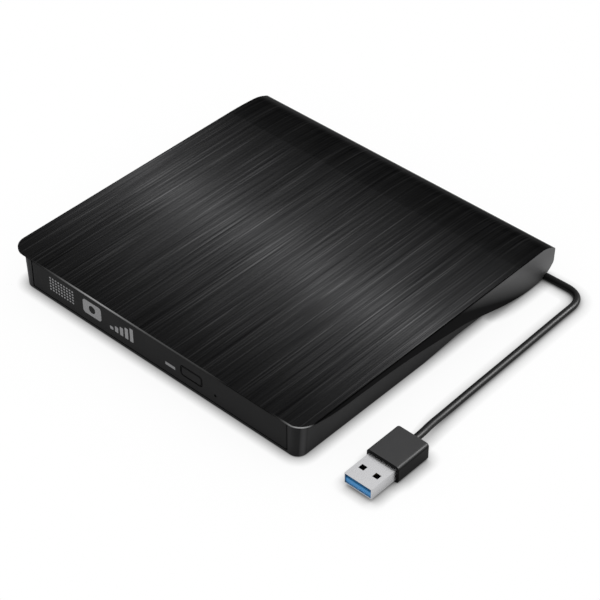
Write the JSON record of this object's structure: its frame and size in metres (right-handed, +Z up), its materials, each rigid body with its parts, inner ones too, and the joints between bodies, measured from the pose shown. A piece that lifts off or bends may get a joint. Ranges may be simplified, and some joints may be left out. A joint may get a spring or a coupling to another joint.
{
  "type": "external disc drive",
  "caption": "Slim external disc drive with a brushed plate cover, curved rear nose, sliding tray on telescopic rails, spindle and pickup, and captive USB lead.",
  "frame": {"origin": "on the table, under the middle of the body, midway between the cover's front edge and the nose", "axes": "+X to the right seen from the front, +Y to the rear nose, +Z up"},
  "size_m": [0.1745, 0.141, 0.0169],
  "materials": {
    "cover_plastic": "brushed-look hard coat",
    "case_plastic": "fine satin",
    "bezel_plastic": "fine satin",
    "button_plastic": "fine satin",
    "light_plastic": "frosted light guide",
    "foot_rubber": "matte",
    "screw_steel": "black zinc",
    "pan_steel": "galvanised sheet",
    "rail_steel": "drawn",
    "board_laminate": "solder mask",
    "chip_resin": "moulded resin",
    "connector_plastic": "moulded",
    "flex_film": "polyimide film",
    "foam": "open cell foam",
    "guide_plastic": "acetal",
    "spring_steel": "wire",
    "tray_plastic": "fine spark texture",
    "chassis_alloy": "die cast",
    "cover_sheet": "black coated sheet",
    "rod_steel": "ground",
    "damper_rubber": "soft",
    "motor_steel": "plated",
    "rotor_steel": "turned",
    "ring_rubber": "silicone",
    "dog_plastic": "acetal",
    "sled_alloy": "die cast",
    "lens_glass": "coated",
    "lens_plastic": "liquid crystal polymer",
    "lead_sheath": "soft vinyl",
    "plug_plastic": "satin",
    "plug_steel": "plated shell",
    "plug_blue": "moulded",
    "contact_gold": "gold plated"
  },
  "bodies": {
    "enclosure": {"top_cover": "cover_plastic", "bottom_case": "case_plastic", "rubber_feet": "foot_rubber", "case_screws": "screw_steel", "cable_grommet": "lead_sheath", "cable": "lead_sheath", "plug_housing": "plug_plastic", "plug_shell": "plug_steel", "plug_tongue": "plug_blue", "plug_contacts": "contact_gold", "bridge_board": "board_laminate", "bridge_chips": "chip_resin", "sata_socket": "connector_plastic", "sata_plug": "connector_plastic", "main_board": "board_laminate", "main_board_chips": "chip_resin", "flex_cable": "flex_film", "drive_base": "pan_steel", "drive_lid": "pan_steel", "foam_pads": "foam", "latch_pin": "rod_steel", "side_guide_left": "guide_plastic", "side_guide_right": "guide_plastic", "pusher_guide": "guide_plastic", "eject_spring": "spring_steel"},
    "rail_left": {"rail_left": "rail_steel"},
    "rail_right": {"rail_right": "rail_steel"},
    "eject_pusher": {"eject_pusher": "guide_plastic"},
    "tray": {"bezel": "bezel_plastic", "led_window": "light_plastic", "front_board": "board_laminate", "status_led": "light_plastic", "eject_switch": "connector_plastic", "tray": "tray_plastic", "tray_floor": "pan_steel", "mechanism_chassis": "chassis_alloy", "guide_rods": "rod_steel", "mechanism_cover": "cover_sheet", "rubber_dampers": "damper_rubber", "mechanism_screws": "screw_steel", "spindle_motor": "motor_steel", "sled_motor": "motor_steel", "latch_solenoid": "motor_steel"},
    "eject_button": {"eject_button": "button_plastic"},
    "spindle": {"turntable": "rotor_steel", "friction_ring": "ring_rubber"},
    "chucking_dog_1": {"chucking_dog_1": "dog_plastic"},
    "chucking_dog_2": {"chucking_dog_2": "dog_plastic"},
    "chucking_dog_3": {"chucking_dog_3": "dog_plastic"},
    "pickup": {"pickup_sled": "sled_alloy", "sled_nut": "dog_plastic", "lens_cover": "lens_plastic"},
    "lens": {"lens_holder": "lens_plastic", "objective_lens": "lens_glass"},
    "lead_screw": {"lead_screw": "rod_steel"},
    "latch_lever": {"latch_lever": "dog_plastic"},
    "solenoid_plunger": {"solenoid_plunger": "rod_steel"},
    "emergency_slider": {"emergency_slider": "dog_plastic"}
  },
  "joints": [
    {"name": "tray_slide", "type": "slide", "parent": "enclosure", "child": "tray", "axis": [0, -1, 0], "range_m": [0, 0.126], "deforming": ["flex_cable"]},
    {"name": "rail_left_slide", "type": "slide", "parent": "enclosure", "child": "rail_left", "axis": [0, -1, 0], "range_m": [0, 0.063]},
    {"name": "rail_right_slide", "type": "slide", "parent": "enclosure", "child": "rail_right", "axis": [0, -1, 0], "range_m": [0, 0.063]},
    {"name": "pusher_slide", "type": "slide", "parent": "enclosure", "child": "eject_pusher", "axis": [0, -1, 0], "range_m": [0, 0.0085], "deforming": ["eject_spring"]},
    {"name": "button_press", "type": "slide", "parent": "tray", "child": "eject_button", "axis": [0, 1, 0], "range_m": [0, 0.0005], "stiffness_N_per_m": 900},
    {"name": "spindle_spin", "type": "hinge", "parent": "tray", "child": "spindle", "pos_m": [0.0012, -0.00385, 0.0102], "axis": [0, 0, 1], "continuous": true},
    {"name": "pickup_slide", "type": "slide", "parent": "tray", "child": "pickup", "axis": [-0.7071, -0.7071, 0], "range_m": [0, 0.034]},
    {"name": "lead_screw_spin", "type": "hinge", "parent": "tray", "child": "lead_screw", "pos_m": [-0.00637, -0.03871, 0.0064], "axis": [-0.7071, -0.7071, 0], "range_deg": [0, 4081]},
    {"name": "lens_focus", "type": "slide", "parent": "pickup", "child": "lens", "axis": [0, 0, 1], "range_m": [-0.0004, 0.0004], "stiffness_N_per_m": 120},
    {"name": "latch_turn", "type": "hinge", "parent": "tray", "child": "latch_lever", "pos_m": [0.044, -0.05845, 0.0057], "axis": [0, 0, -1], "range_deg": [-15, 0]},
    {"name": "plunger_slide", "type": "slide", "parent": "tray", "child": "solenoid_plunger", "axis": [1, 0, 0], "range_m": [-0.0031, 0]},
    {"name": "emergency_push", "type": "slide", "parent": "tray", "child": "emergency_slider", "axis": [0, 1, 0], "range_m": [0, 0.003]},
    {"name": "chucking_dog_1_press", "type": "slide", "parent": "spindle", "child": "chucking_dog_1", "axis": [0.7071, 0.7071, 0], "range_m": [0, 0.0005], "stiffness_N_per_m": 500},
    {"name": "chucking_dog_2_press", "type": "slide", "parent": "spindle", "child": "chucking_dog_2", "axis": [-0.9659, 0.2588, 0], "range_m": [0, 0.0005], "stiffness_N_per_m": 500},
    {"name": "chucking_dog_3_press", "type": "slide", "parent": "spindle", "child": "chucking_dog_3", "axis": [0.2588, -0.9659, 0], "range_m": [0, 0.0005], "stiffness_N_per_m": 500}
  ],
  "couplings": [
    {"joint": "rail_left_slide", "follows": "tray_slide", "ratio": 0.5},
    {"joint": "rail_right_slide", "follows": "tray_slide", "ratio": 0.5},
    {"joint": "pusher_slide", "follows": "tray_slide", "ratio": 0.067459},
    {"joint": "lead_screw_spin", "follows": "pickup_slide", "rad_per_m": 2094.4},
    {"joint": "latch_turn", "follows": "plunger_slide", "rad_per_m": 84.296}
  ]
}
